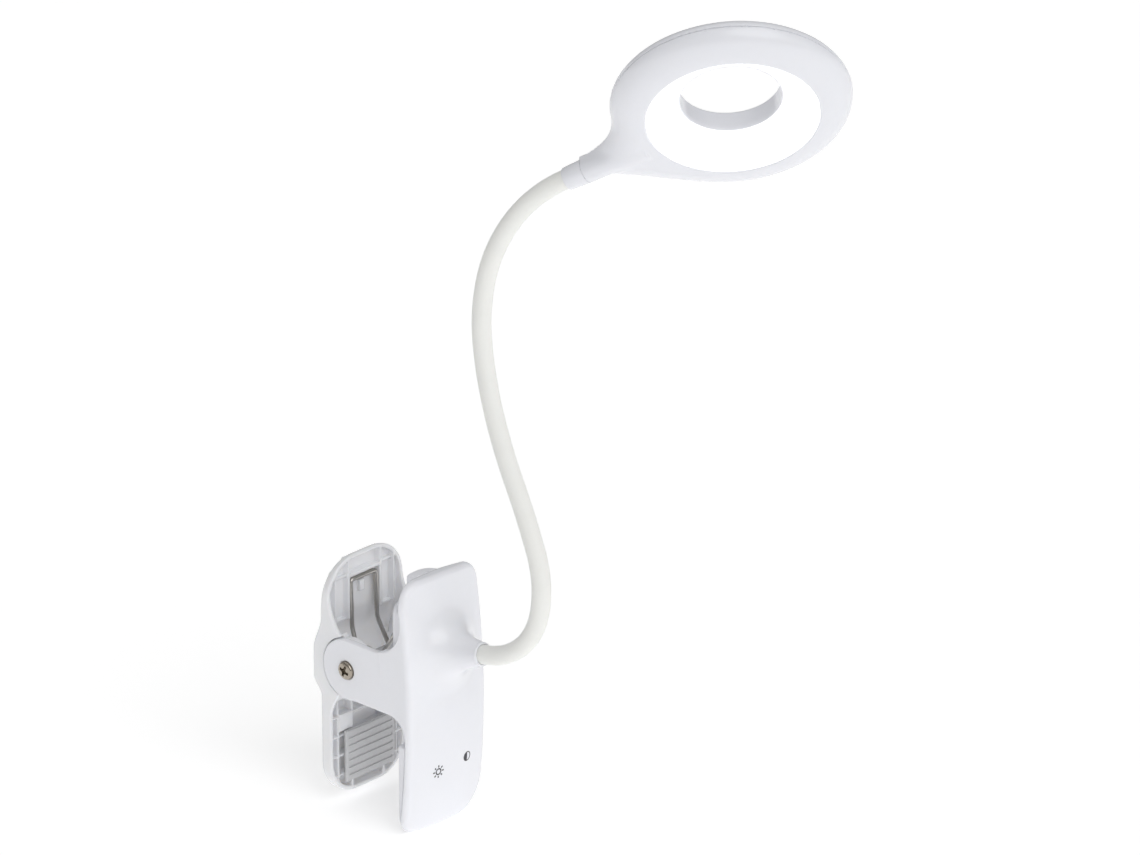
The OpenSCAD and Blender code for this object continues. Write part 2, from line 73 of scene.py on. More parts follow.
def both(a, b, r=0.0):
    """Where two solids overlap, with the edge between them rounded to r."""
    if not np.any(r):
        return np.maximum(a, b)
    return np.minimum(np.maximum(a, b), -r) + np.hypot(np.maximum(a + r, 0), np.maximum(b + r, 0))


def either(a, b, r=0.0):
    """Two solids as one, with a fillet of radius r where they meet."""
    return -both(-a, -b, r)


def without(a, b, r=0.0):
    return both(a, -b, r)


def ease(t):
    t = np.clip(t, 0, 1)
    return t * t * (3 - 2 * t)


def slab(x, z, half, low, high, r_low, r_high):
    """A round-cornered outline with its own corner radius at each end."""
    mid, tall = (low + high) / 2, (high - low) / 2
    r = np.where(z < mid, r_low, r_high)
    qx, qz = np.abs(x) - half + r, np.abs(z - mid) - tall + r
    return np.hypot(np.maximum(qx, 0), np.maximum(qz, 0)) + np.minimum(np.maximum(qx, qz), 0) - r


def body_outline(x, z, half, low, high, r_left, r_right, r_high):
    """An outline with a tight lower corner on one side, a wide one on the other and equal upper corners."""
    mid, tall = (low + high) / 2, (high - low) / 2
    r = np.where(z < mid, np.where(x < 0, r_left, r_right), r_high)
    qx, qz = np.abs(x) - half + r, np.abs(z - mid) - tall + r
    return np.hypot(np.maximum(qx, 0), np.maximum(qz, 0)) + np.minimum(np.maximum(qx, qz), 0) - r


def block(x, y, z, lo, hi, r=0.0):
    q = [np.abs(v - (a + b) / 2) - (b - a) / 2 + r for v, a, b in zip((x, y, z), lo, hi)]
    far = np.sqrt(sum(np.maximum(v, 0) ** 2 for v in q))
    return far + np.minimum(np.maximum(np.maximum(q[0], q[1]), q[2]), 0) - r


def gradient(field, p, h=0.01):
    g = np.empty_like(p)
    for k in range(3):
        a, b = p.copy(), p.copy()
        a[:, k] += h
        b[:, k] -= h
        g[:, k] = (field(*a.T) - field(*b.T)) / (2 * h)
    return g


def surface(field, lo, hi, step):
    """The surface of a distance field as points, quads and normals."""
    axes = [np.arange(a - 1.5 * step, b + 2.5 * step, step) for a, b in zip(lo, hi)]
    values = field(*np.meshgrid(*axes, indexing="ij", sparse=False))
    values = np.where(values == 0, 1e-9, values)
    inside = values < 0
    corners = [(i, j, k) for i in (0, 1) for j in (0, 1) for k in (0, 1)]
    ni, nj, nk = (n - 1 for n in inside.shape)
    count = sum(inside[i:ni + i, j:nj + j, k:nk + k].astype(np.int8) for i, j, k in corners)
    cells = np.argwhere((count > 0) & (count < 8))
    at = {c: values[cells[:, 0] + c[0], cells[:, 1] + c[1], cells[:, 2] + c[2]] for c in corners}
    total, number = np.zeros((len(cells), 3)), np.zeros(len(cells))
    for c in corners:
        for axis in range(3):
            if c[axis]:
                continue
            d = tuple(c[m] + (m == axis) for m in range(3))
            crossed = (at[c] < 0) != (at[d] < 0)
            t = np.where(crossed, at[c] / np.where(crossed, at[c] - at[d], 1), 0)
            for m in range(3):
                total[:, m] += crossed * (c[m] + (t if m == axis else 0))
            number += crossed
    origin = np.array([a[0] for a in axes])
    middle = origin + (cells + 0.5) * step
    points = origin + (cells + total / number[:, None]) * step
    for _ in range(3):
        g = gradient(field, points)
        d = field(*points.T)
        points -= g * (d / np.maximum((g * g).sum(1), 0.25))[:, None]
        points = middle + np.clip(points - middle, -0.6 * step, 0.6 * step)
    index = np.full(count.shape, -1, np.int64)
    index[tuple(cells.T)] = np.arange(len(cells))
    quads = []
    for axis in range(3):
        u, v = [m for m in range(3) if m != axis]
        first = [slice(None)] * 3
        second = [slice(None)] * 3
        first[axis], second[axis] = slice(None, -1), slice(1, None)
        a, b = inside[tuple(first)], inside[tuple(second)]
        e = np.argwhere(a != b)
        e = e[(e[:, u] > 0) & (e[:, v] > 0) & (e[:, u] < index.shape[u]) & (e[:, v] < index.shape[v])]
        flip = a[tuple(e.T)]
        corner = []
        for du, dv in ((0, 0), (1, 0), (1, 1), (0, 1)):
            c = e.copy()
            c[:, u] -= du
            c[:, v] -= dv
            corner.append(index[tuple(c.T)])
        q = np.stack(corner, 1)
        if axis == 1:
            flip = ~flip
        quads.append(np.where(flip[:, None], q, q[:, ::-1]))
    normals = gradient(field, points)
    normals /= np.maximum(np.linalg.norm(normals, axis=1), 1e-9)[:, None]
    return points, np.concatenate(quads), normals


def add_mesh(name, points, faces, material, normals=None, place=None, smooth=True):
    points = np.asarray(points, float)
    if place is not None:
        points = points @ place[:3, :3].T + place[:3, 3]
        if normals is not None:
            normals = normals @ place[:3, :3].T
    mesh = bpy.data.meshes.new(name)
    mesh.from_pydata((points * MM).tolist(), [], faces if isinstance(faces, list) else faces.tolist())
    mesh.update()
    mesh.polygons.foreach_set("use_smooth", [smooth] * len(mesh.polygons))
    if normals is not None:
        mesh.normals_split_custom_set_from_vertices(normals.tolist())
    mesh.materials.append(material)
    made = bpy.data.objects.new(name, mesh)
    bpy.context.scene.collection.objects.link(made)
    return made


def solid(name, field, lo, hi, step, material, place=None):
    points, quads, normals = surface(field, lo, hi, step)
    return add_mesh(name, points, quads, material, normals, place)


def finish_piece(made, body, slot, *nodes):
    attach(made, body)
    if nodes:
        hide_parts(*nodes)
    return made


# ---- Materials ----

def material(name, color, rough, metallic=0.0, coat=0.0, sheen=0.0, grain=400.0, depth=0.02, spread=0.03,
             subsurface=0.0, glow=None, glow_power=0.0):
    made = bpy.data.materials.new(name)
    made.use_nodes = True
    tree = made.node_tree
    shader = tree.nodes["Principled BSDF"]
    shader.inputs["Metallic"].default_value = metallic
    shader.inputs["Coat Weight"].default_value = coat
    shader.inputs["Coat Roughness"].default_value = 0.12
    shader.inputs["Sheen Weight"].default_value = sheen
    if subsurface:
        shader.inputs["Subsurface Weight"].default_value = subsurface
        shader.inputs["Subsurface Radius"].default_value = (1.0, 0.9, 0.8)
        shader.inputs["Subsurface Scale"].default_value = 0.004
    if glow:
        shader.inputs["Emission Color"].default_value = (*glow, 1)
        shader.inputs["Emission Strength"].default_value = glow_power
    place = tree.nodes.new("ShaderNodeTexCoord")
    noise = tree.nodes.new("ShaderNodeTexNoise")
    noise.inputs["Scale"].default_value = grain
    noise.inputs["Detail"].default_value = 4.0
    tree.links.new(place.outputs["Object"], noise.inputs["Vector"])
    tint = tree.nodes.new("ShaderNodeValToRGB")
    tint.color_ramp.elements[0].position = 0.3
    tint.color_ramp.elements[1].position = 0.7
    tint.color_ramp.elements[0].color = (*[c * (1 - spread) for c in color], 1)
    tint.color_ramp.elements[1].color = (*[min(1.0, c * (1 + spread)) for c in color], 1)
    tree.links.new(noise.outputs["Fac"], tint.inputs["Fac"])
    tree.links.new(tint.outputs["Color"], shader.inputs["Base Color"])
    gloss = tree.nodes.new("ShaderNodeMapRange")
    gloss.inputs["To Min"].default_value = rough * 0.9
    gloss.inputs["To Max"].default_value = min(1.0, rough * 1.1)
    tree.links.new(noise.outputs["Fac"], gloss.inputs["Value"])
    tree.links.new(gloss.outputs["Result"], shader.inputs["Roughness"])
    bump = tree.nodes.new("ShaderNodeBump")
    bump.inputs["Strength"].default_value = depth
    bump.inputs["Distance"].default_value = 0.0002
    tree.links.new(noise.outputs["Fac"], bump.inputs["Height"])
    tree.links.new(bump.outputs["Normal"], shader.inputs["Normal"])
    return made



def gloss_plastic(name, color, subsurface):
    return material(name, color, 0.24, coat=0.25, spread=0.004, depth=0.01, subsurface=subsurface)


SHELL = gloss_plastic("shell_plastic", (0.928, 0.935, 0.982), 0.12)
# Painted shade: the head is the shell's white plastic, given a darker colour so its floor-lit underside
# renders dimmer.
SHADED_HEAD_PLASTIC = gloss_plastic("head_plastic_painted_shade", (0.885, 0.893, 0.94), 0.08)
# Painted light: the lever is the shell's white plastic, given a brighter colour to lift the shade inside its
# tray.
LIT_LEVER_PLASTIC = gloss_plastic("lever_plastic_painted_light", (0.955, 0.96, 0.985), 0.4)
INNER = material("inner_plastic", (0.90, 0.905, 0.95), 0.42, spread=0.006, depth=0.02)
SILICONE = material("neck_silicone", (0.965, 0.965, 0.925), 0.62, sheen=0.15, spread=0.008, depth=0.05,
                    grain=900, subsurface=0.12)
PAD = material("pad_rubber", (0.68, 0.68, 0.69), 0.75, spread=0.02, depth=0.08, grain=700)
WIRE = material("spring_steel", (0.50, 0.485, 0.46), 0.30, metallic=1.0, spread=0.06, depth=0.04, grain=600)
# Nickel metal; its dark brownish colour is painted dark reflection and recess shade on the screw head.
SCREW = material("screw_nickel", (0.40, 0.355, 0.30), 0.22, metallic=1.0, spread=0.08, depth=0.05, grain=500)
PLATED = material("plated_steel", (0.60, 0.60, 0.62), 0.35, metallic=1.0, spread=0.05, depth=0.05)
SMALL = material("small_screws", (0.55, 0.55, 0.56), 0.38, metallic=1.0, spread=0.05, depth=0.05)
SOCKET = material("socket_metal", (0.66, 0.66, 0.68), 0.30, metallic=1.0, spread=0.05, depth=0.04)
CORE = material("gooseneck_steel", (0.46, 0.46, 0.47), 0.45, metallic=1.0, spread=0.08, depth=0.1)
LEAD = material("lead_wire", (0.50, 0.04, 0.03), 0.45, spread=0.05, depth=0.05)
FOIL = material("cell_foil", (0.66, 0.67, 0.70), 0.35, metallic=0.9, spread=0.06, depth=0.3, grain=120)
BOARD = material("green_board", (0.02, 0.16, 0.06), 0.35, spread=0.15, depth=0.05)
CONTACT = material("spring_plate", (0.66, 0.48, 0.20), 0.3, metallic=1.0, spread=0.05, depth=0.03)
WHITE = material("white_board", (0.84, 0.84, 0.84), 0.4, spread=0.02, depth=0.04)
CHIP = material("led_phosphor", (0.90, 0.74, 0.22), 0.5, spread=0.04, depth=0.05)
OPAL = material("diffuser_opal", (0.95, 0.95, 0.95), 0.45, spread=0.004, depth=0.02, glow=(1.0, 0.995, 0.985),
                glow_power=0.5)
INK = material("icon_ink", (0.055, 0.055, 0.065), 0.5, spread=0.1, depth=0.05)

BY_NODE = {
    "inner_cover": INNER, "front_jaw_pad": PAD, "rear_jaw_pad": PAD, "cover_screws": SMALL, "battery": FOIL,
    "control_board": BOARD, "touch_springs": CONTACT, "charging_socket": SOCKET, "battery_leads": LEAD,
    "pivot_sleeve": PLATED, "pivot_screws": SCREW, "torsion_spring": WIRE, "neck_ferrule": PLATED,
    "neck_nut": PLATED, "head_ferrule": PLATED, "head_lead": LEAD, "diffuser": OPAL, "led_board": WHITE,
    "led_chips": CHIP,
}
for name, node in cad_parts.items():
    chosen = BY_NODE.get(name, SHELL)
    if name.startswith("neck_core"):
        chosen = CORE
    if name.startswith("neck_lead"):
        chosen = LEAD
    node.data.materials.clear()
    node.data.materials.append(chosen)


# ---- Front shell ----

CROWN_R = 88.75


def bow(z):
    return (z - BOW_Z) ** 2 / (2 * BOW_R)


def face(x, z):
    """The front face, which bows back towards the top and bottom and falls away to its sides."""
    return FACE_Y + x * x / (2 * CROWN_R) + bow(z)


def socket_frame():
    t = math.radians(SOCKET_TILT)
    place = np.eye(4)
    place[:3, 1] = [0, math.sin(t), math.cos(t)]
    place[:3, 2] = [0, -math.cos(t), math.sin(t)]
    place[:3, 3] = [0, SOCKET_Y, SOCKET_Z]
    return place


SOCKET_FRAME = socket_frame()


def boss_axes(x, y, z):
    """Radius from the neck's axis and depth behind the socket's rim."""
    across = (y - SOCKET_Y) * SOCKET_FRAME[1, 1] + (z - SOCKET_Z) * SOCKET_FRAME[2, 1]
    along = (y - SOCKET_Y) * SOCKET_FRAME[1, 2] + (z - SOCKET_Z) * SOCKET_FRAME[2, 2]
    return np.hypot(x, across), -along


def front_shell(x, y, z):
    wide = np.abs(x)
    slope = np.sqrt(1 + (x / CROWN_R) ** 2 + ((z - BOW_Z) / BOW_R) ** 2)
    front = (face(x, z) - y) / slope
    high = BODY_HIGH - 1.4 * ease(x / 20)
    outline = body_outline(x, z, HALF_W, BODY_LOW, high, 7, 14, np.where(x < 0, 10, 6.5))
    rim = y - (RIM_Y + bow(z))
    py, pz = y - PIVOT_Y, z - PIVOT_Z
    axle = np.hypot(py, pz)
    web = both(either(rim, pz - EAR_R, 16), either(rim, -pz - 11.5, 8.5))
    ear = np.minimum(both(web, py), axle - EAR_R)
    ear = both(ear, EAR_IN - wide, 0.4)
    shell = both(both(front, outline, 1.8), np.minimum(rim, ear), 0.5)
    rho, deep = boss_axes(x, y, z)
    rod = both(rho - (4.6 + 0.25 * np.maximum(deep - 1.5, 0)), -deep, 0.8)
    shell = either(shell, both(rod, y - face(x, z) - 6), 10)
    cavity = both(front + 2, body_outline(x, z, EAR_IN, -19.6, 77, 5, 12, 7), 1.5)
    shell = without(shell, cavity, 0.3)
    shell = without(shell, both(rho - 3.66, deep - 6), 0.25)
    shell = without(shell, rho - FERRULE_R)
    shell = without(shell, block(x, y, z, USB_LOW, USB_HIGH, 0.4), 0.2)
    shell = without(shell, both(axle - 1.75, 15 - wide))
    return without(shell, both(axle - 3.65, 19.9 - wide), 0.2)


made = solid("clip_front_shell", front_shell, (-20.6, -26.7, -21.7), (20.6, 37.1, 79.1), 0.5, SHELL)
finish_piece(made, "clip_body", "shell_plastic", "front_shell")


def hump_outline(x, z, inset):
    """The raised compartment: wide over the battery, with a lopsided arched ridge on top."""
    arch = (z - (79.2 - (x + 5) ** 2 / 45)) * 0.95
    ridge = both(both(np.abs(x - 1) - 10.7, 60 - z), arch, 1.2)
    return np.minimum(slab(x, z, 17.2, 50, 70.5, 3, 5), ridge) + inset


def inner_cover(x, y, z):
    low = body_outline(x, z, 20.0, -20.1, 15, 6, 13, 1)
    middle = slab(x, z, 17.6, 5, 74, 1, 2)
    high = slab(x, z, 20.0, 66.5, 77.5, 1, 5.5)
    rim = (-4.3 + bow(z)) - y
    strip = both(both(np.minimum(either(low, middle, 0.5), high), y - COVER_Y, 1.2), rim, 0.3)
    hump = both(both(hump_outline(x, z, 0), y - HUMP_Y, 1.6), np.where(z > 76.7, 0.25, -0.5) - y)
    cover = either(strip, hump, 0.8)
    hollow = np.minimum(body_outline(x, z, 17.6, -18.4, 13.4, 4.5, 11.4, 1),
                        slab(x, z, 16, 5, 75.9, 1, 6.4))
    cover = without(cover, both(hollow, y + 2.0, 0.5))
    cover = without(cover, both(hump_outline(x, z, 1.6), y - 3.4, 0.5))
    cover = without(cover, block(x, y, z, (-13, -1.5, -14), (13, 5, 14)), 0.2)
    cover = without(cover, block(x, y, z, USB_LOW, USB_HIGH, 0.4), 0.2)
    for sx in (-13, 13):
        for sz in (20, 44):
            hole = np.hypot(x - sx, z - sz)
            cover = without(cover, np.minimum(hole - 1.2, both(hole - 2.6 - (y - COVER_Y), -1.6 - y)), 0.1)
    return cover


made = solid("clip_inner_cover", inner_cover, (-20.1, -4.5, -20.2), (20.1, 5.1, 79.3), 0.45, INNER)
finish_piece(made, "clip_body", "inner_plastic", "inner_cover")


def front_pad(x, y, z):
    pad = block(x, y, z, (-PAD_HALF, -PAD_T, -PAD_RISE), (PAD_HALF, 0, PAD_RISE), 0.35)
    groove = np.abs((z + 1.5) % 3 - 1.5) - 0.45
    return without(pad, both(both(groove, -0.45 - y), np.abs(x) - 11.5), 0.15)


made = solid("clip_front_pad", front_pad, (-13, -1.6, -14), (13, 0.1, 14), 0.25, PAD)
finish_piece(made, "clip_body", "pad_rubber", "front_jaw_pad")


# ---- Rear lever ----

# Lever fields take y and z from the pivot.

def lever_back(z):
    return 14.4 + 4.0 * ease((17 - z) / 14) * ease((z + 15) / 7.5)


def lever_rim(z):
    upper = np.maximum(9.8 - 0.0262 * np.maximum(27 - z, 0) ** 2, 1.5)
    return np.where(z > 4, upper, 1.5 + 7.5 * ease((-4 - z) / 18))


def lever_ribs(x, y, z):
    wide = np.abs(x)
    up = both(13.5 - z, z - 38)
    down = both(LEVER_LOW + 1 - z, z + 16)
    tall = np.minimum(both(up, 9.9 - y), both(down, 9.1 - y))
    ribs = both(np.abs(wide - RIB_X) - 0.6, tall)
    ribs = np.minimum(ribs, both(both(np.abs(wide - OUTER_RIB_X) - 0.5, up), 9.9 - y))
    ribs = np.minimum(ribs, both(both(np.abs(wide - OUTER_RIB_X) - 0.5, down), 9.4 - y))
    top = both(both(np.abs(z - 30.95) - 0.75, wide - RIB_X), 10.0 - y)
    bars = np.minimum.reduce([np.abs(z - bar) for bar in (-24, -32, -40, -48)])
    grid = both(bars - 0.5, 9.4 - y)
    tabs = both(both(np.abs(wide - 11.9) - 3.4, 11.1 - y), np.minimum(np.abs(z - 31), np.abs(z - 13.7)) - 0.5)
    ribs = np.minimum(np.minimum(ribs, top), np.minimum(grid, tabs))
    plateau = both(both(np.abs(wide - 11.9) - 3.5, np.abs(z + 26.5) - 3.5), 8.6 - y, 0.3)
    pin = block(x, y, z, (-1.55, 10.9, 22.4), (1.15, 16, 27.0), 0.5)
    return np.minimum(np.minimum(ribs, plateau), pin)


def rear_lever(x, y, z):
    y, z = y - PIVOT_Y, z - PIVOT_Z
    wide = np.abs(x)
    back = (y - lever_back(z)) * 0.9
    rim = (lever_rim(z) - y) * 0.85
    outline = slab(x, z, LEVER_HALF, LEVER_LOW, LEVER_HIGH, 14, 15)
    lever = both(both(back, outline, 1.6 + 2.4 * ease((z - 18) / 20)), rim, 0.5)
    hollow = both(back + 1.6, slab(x, z, 18.3, -54.3, 37.5, 12.3, 13.3), 1.6)
    narrow = both(wide - 15.2, both(z - 18, -15.5 - z))
    axle = np.hypot(y, z)
    hollow = both(hollow, np.minimum(np.minimum(both(13.2 - axle, -z), z + 15.5), narrow))
    cheek = both(axle - 11.7, np.abs(wide - 16.5) - 1.3, 0.3)
    tray = without(lever, hollow, 0.5)
    inside = both(both(lever_ribs(x, y, z), back + 0.9), np.maximum(outline + 0.9, rim))
    lever = np.minimum(either(tray, inside, 0.35), cheek)
    lever = without(lever, axle - SLEEVE_BORE)
    return without(lever, both(axle - RECESS_R, 17.8 - wide), 0.3)


# The tray wears the brightened plastic: painted light that lifts the shade inside it.
made = solid("lever_tray", rear_lever, (-20.1, 13, -18.6), (20.1, 43.8, 76.8), 0.5, LIT_LEVER_PLASTIC)
finish_piece(made, "lever", "shell_plastic", "rear_lever")


def rear_pad(x, y, z):
    y, z = y - PIVOT_Y, z - PIVOT_Z
    pad = block(x, y, z, (-PAD_HALF, 7.7, -51), (PAD_HALF, 9.08, -30), 0.35)
    groove = np.abs((z + 1.5) % 3 - 1.5) - 0.45
    return without(pad, both(both(groove, y - 8.15), np.abs(x) - 11.5), 0.15)


made = solid("lever_pad", rear_pad, (-13, 32.6, -13.6), (13, 34.2, 7.6), 0.25, PAD)
finish_piece(made, "lever", "pad_rubber", "rear_jaw_pad")


# ---- Pivot screws ----

def pivot_screw(x, y, z):
    y, z = y - PIVOT_Y, z - PIVOT_Z
    r = np.hypot(y, z)
    head = both(np.sqrt(r * r + (x - 12.9) ** 2) - 9.2, both(r - 3.5, 19.9 - x), 0.5)
    screw = np.minimum(head, both(r - 1.5, both(x - 20.5, 11 - x), 0.2))
    turn = math.radians(20)
    u, v = y * math.cos(turn) + z * math.sin(turn), z * math.cos(turn) - y * math.sin(turn)
    cross = np.minimum(both(np.abs(u) - 2.2, np.abs(v) - 0.5), both(np.abs(v) - 2.2, np.abs(u) - 0.5))
    cross = both(cross, 20.5 - x)
    cross = np.minimum(cross, both(np.hypot(u, v) - 1.1, 20.3 - x))
    return without(screw, cross, 0.12)


def pivot_screw_mirrored(x, y, z):
    return pivot_screw(-x, y, z)


made = solid("screw_right", pivot_screw, (11, 20.9, 33.4), (22.2, 29.1, 41.6), 0.16, SCREW)
finish_piece(made, "clip_body", "screw_nickel", "pivot_screws")
made = solid("screw_left", pivot_screw_mirrored, (-22.2, 20.9, 33.4), (-11, 29.1, 41.6), 0.16, SCREW)
finish_piece(made, "clip_body", "screw_nickel", "pivot_screws")


# ---- Round pieces and tubes ----

def tube_mesh(centres, sides, ups, r_out, r_in, around=40):
    """A closed tube along a line; r_in 0 makes it solid. Its ends have their own points, to stay crisp."""
    a = np.arange(around) * 2 * math.pi / around
    points, faces = [], []
    n = len(centres)

    def ring(k, r):
        start = len(points)
        points.extend(centres[k] + r * (math.cos(t) * sides[k] + math.sin(t) * ups[k]) for t in a)
        return start

    def skin(radius, flip):
        starts = [ring(k, radius) for k in range(n)]
        for s, t in zip(starts, starts[1:]):
            for j in range(around):
                q = [s + j, s + (j + 1) % around, t + (j + 1) % around, t + j]
                faces.append(q[::-1] if flip else q)

    skin(r_out, False)
    if r_in:
        skin(r_in, True)
    for k, flip in ((0, True), (n - 1, False)):
        outer = ring(k, r_out)
        if r_in:
            inner = ring(k, r_in)
            for j in range(around):
                q = [outer + j, outer + (j + 1) % around, inner + (j + 1) % around, inner + j]
                faces.append(q[::-1] if flip else q)
        else:
            q = [outer + j for j in range(around)]
            faces.append(q[::-1] if flip else q)
    return points, faces


def transported(points):
    """Unit headings and a steady pair of cross directions along a line of points."""
    points = [np.asarray(p, float) for p in points]
    sides, ups = [], []
    side = None
    for k in range(len(points)):
        heading = points[min(k + 1, len(points) - 1)] - points[max(k - 1, 0)]
        heading /= np.linalg.norm(heading)
        if side is None:
            side = np.cross(heading, [0.3, 0.2, 0.9])
        side = side - heading * (side @ heading)
        side /= np.linalg.norm(side)
        sides.append(side)
        ups.append(np.cross(heading, side))
    return points, sides, ups


def lathe(name, profile, mat, place, around=128):
    """A piece of revolution about z; the profile is [radius, z] and goes round the section once."""
    points, faces = [], []
    n = len(profile)
    for r, z in profile:
        for j in range(around):
            t = 2 * math.pi * j / around
            points.append((r * math.cos(t), r * math.sin(t), z))
    for k in range(n):
        m = (k + 1) % n
        for j in range(around):
            i = (j + 1) % around
            faces.append([k * around + j, k * around + i, m * around + i, m * around + j])
    made = add_mesh(name, points, faces, mat, None, place)
    made.data.polygons.foreach_set("use_smooth", [True] * len(made.data.polygons))
    made.data.set_sharp_from_angle(angle=math.radians(35))
    return made


# ---- Spring ----

COIL_R, COIL_TURNS, COIL_START = 5.5, 3 + 123 / 360, 217


def rounded_path(corners, radius, steps=6):
    """A line through corners with each corner rounded."""
    path = [np.array(corners[0], float)]
    for a, b, c in zip(corners, corners[1:], corners[2:]):
        a, b, c = (np.array(v, float) for v in (a, b, c))
        u, v = (a - b), (c - b)
        cut = min(radius, 0.45 * np.linalg.norm(u), 0.45 * np.linalg.norm(v))
        s, e = b + u / np.linalg.norm(u) * cut, b + v / np.linalg.norm(v) * cut
        for k in range(steps + 1):
            t = k / steps
            path.append((1 - t) ** 2 * s + 2 * t * (1 - t) * b + t * t * e)
    path.append(np.array(corners[-1], float))
    return path


def spring_path(s):
    x0, x1 = 14.1, 8.0
    coil = []
    for k in range(141):
        f = k / 140
        a = math.radians(COIL_START + 360 * COIL_TURNS * f)
        coil.append((s * (x0 + (x1 - x0) * f), COIL_R * math.cos(a), COIL_R * math.sin(a)))
    tail = rounded_path([coil[-1], (s * 6.65, 10.4, 9.7), (s * 6.6, 10.95, 28.6), (0, 10.95, 28.6)], 1.5)
    foot = rounded_path([(s * 14.1, -19.0, 18.0), (s * 14.1, -18.0, 17.0), coil[0]], 1.0)
    path = foot[:-1] + [np.array(p) for p in coil[:-1]] + tail
    return [p + np.array([0, PIVOT_Y, PIVOT_Z]) for p in path]


for s, name in ((-1, "spring_left"), (1, "spring_right")):
    centres, sides, ups = transported(spring_path(s))
    points, faces = tube_mesh(centres, sides, ups, WIRE_R, 0, 16)
    made = add_mesh(name, points, faces, WIRE)
    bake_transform(made)
    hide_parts("torsion_spring")


# ---- Gooseneck ----

NECK_LEN = [18, 20, 24, 26, 26, 26, 26, 26, 26]
NECK_BEND = [30, 37, 32, 7, -8, -11, -17, -22, -23]
NECK_SIDE = [0, 0, 0, 1, 1, 0, 7, 10, 13]
REACH, ROLL = 69.0, -23.0


def turn(axis, degrees):
    return np.array(Matrix.Rotation(math.radians(degrees), 4, axis))


def move(x, y, z):
    return np.array(Matrix.Translation((x, y, z)))


def section_step(i, part=1.0):
    angle = math.hypot(NECK_BEND[i], NECK_SIDE[i])
    way = math.degrees(math.atan2(NECK_BEND[i], NECK_SIDE[i]))
    r = NECK_LEN[i] / math.radians(angle)
    a = math.radians(angle * part)
    step = move(r * (1 - math.cos(a)), 0, r * math.sin(a)) @ turn("Y", angle * part)
    return turn("Z", way) @ step @ turn("Z", -way)


LEAD_IN = 2.7
SECTIONS = [SOCKET_FRAME @ move(0, 0, LEAD_IN)]
for i in range(9):
    SECTIONS.append(SECTIONS[-1] @ section_step(i))
HEAD = SECTIONS[9] @ turn("Z", ROLL) @ move(0, 0, REACH) @ np.array(
    [[0, 1, 0, 0], [0, 0, 1, 0], [1, 0, 0, 0], [0, 0, 0, 1.0]])


def neck_frames(k):
    """Frames along the sleeve over joint k: from the middle of one section to the middle of the next."""
    frames = []
    if k == 1:
        frames += [SECTIONS[0] @ move(0, 0, -8.6 + 8.6 * f) for f in np.linspace(0, 1, 10)[:-1]]
        frames += [SECTIONS[0] @ section_step(0, f) for f in np.linspace(0.0, 1, 32)[:-1]]
    else:
        frames += [SECTIONS[k - 1] @ section_step(k - 1, f) for f in np.linspace(0.5, 1, 20)[:-1]]
    if k == 8:
        frames += [SECTIONS[8] @ section_step(8, f) for f in np.linspace(0, 1, 40)[:-1]]
        frames += [SECTIONS[9] @ move(0, 0, 5.9 * f) for f in np.linspace(0, 1, 6)]
    else:
        frames += [SECTIONS[k] @ section_step(k, f) for f in np.linspace(0, 0.5, 20)]
    return frames


for k in range(1, 9):
    frames = neck_frames(k)
    centres, sides, ups = ([f[:3, column] for f in frames] for column in (3, 0, 1))
    points, faces = tube_mesh(centres, sides, ups, NECK_R, NECK_BORE, 48)
    made = add_mesh("neck_cover_%d" % k, points, faces, SILICONE)
    made.data.set_sharp_from_angle(angle=math.radians(50))
    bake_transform(made)
    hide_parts(*(["neck_sleeve_0"] if k == 1 else []), "neck_sleeve_%d" % k)


# ---- Head, in its own frame ----

def ring_outside(rho, z):
    """Two quarter ellipses that meet at the ring's widest height; the top rises towards the hole."""
    low = np.maximum(rho - LENS_R, 0)
    top = np.maximum(rho - 28.0, 0)
    below = z < EDGE_Z
    a = np.where(below, 11.6, 15.4)
    b = np.where(below, 8.5, 6.4 + 2.6 * np.clip((32 - rho) / 13.7, 0, 1))
    q = np.where(below, low, top)
    g = np.sqrt((q / a) ** 2 + ((z - EDGE_Z) / b) ** 2) + 1e-6
    steep = np.sqrt((q / a ** 2) ** 2 + ((z - EDGE_Z) / b ** 2) ** 2) / g + 1e-6
    return (g - 1) / steep


def ring_shell(rho, z):
    outer = both(ring_outside(rho, z), HOLE_R - rho, 0.7)
    return without(outer, both(ring_outside(rho, z) + SHELL_T, 20.1 - rho))


def head_top(x, y, z):
    rho = np.hypot(x, y)
    ring = both(ring_shell(rho, z), 3.56 - z, 0.05)
    return without(ring, both(rho - 20.1, z - 5.2), 0.1)


def head_bezel(x, y, z):
    rho = np.hypot(x, y)
    stem = np.hypot(y, 2.0) - math.hypot(4.4, 2.0)
    plan = either(rho - RING_R, both(stem, x + 30), 20 + 7 * np.tanh(y / 8))
    under = ring_outside(np.maximum(RING_R + plan, 20), z)
    under = np.where(z < EDGE_Z, under, plan)
    body = both(under, z - SEAM_Z)
    rod = both(np.hypot(y, z) - 4.6, x + 36)
    body = either(body, rod, 1.0)
    lid = SEAM_Z + 0.8 * ease((-46 - x) / 12)
    body = both(body, z - lid, 0.3)
    body = both(body, -60.98 - x, 0.12)
    inner = both(both(ring_outside(rho, z) + SHELL_T, rho - 41.4), 31.0 - rho)
    body = without(body, inner)
    body = both(body, 31.3 - rho, 0.45)
    body = without(body, both(np.hypot(y, z) - FERRULE_R, x + 51))
    return without(body, both(np.hypot(y, z) - NECK_BORE, x + 38))


made = solid("head_top_cover", head_top, (-43.5, -43.5, 3.6), (43.5, 43.5, 13.6), 0.5, SHADED_HEAD_PLASTIC, HEAD)
finish_piece(made, "head", "shell_plastic", "head_top_shell")
made = solid("head_ring_bezel", head_bezel, (-61.1, -43.5, -4.7), (43.5, 43.5, 4.6), 0.5, SHADED_HEAD_PLASTIC, HEAD)
finish_piece(made, "head", "shell_plastic", "head_bezel")

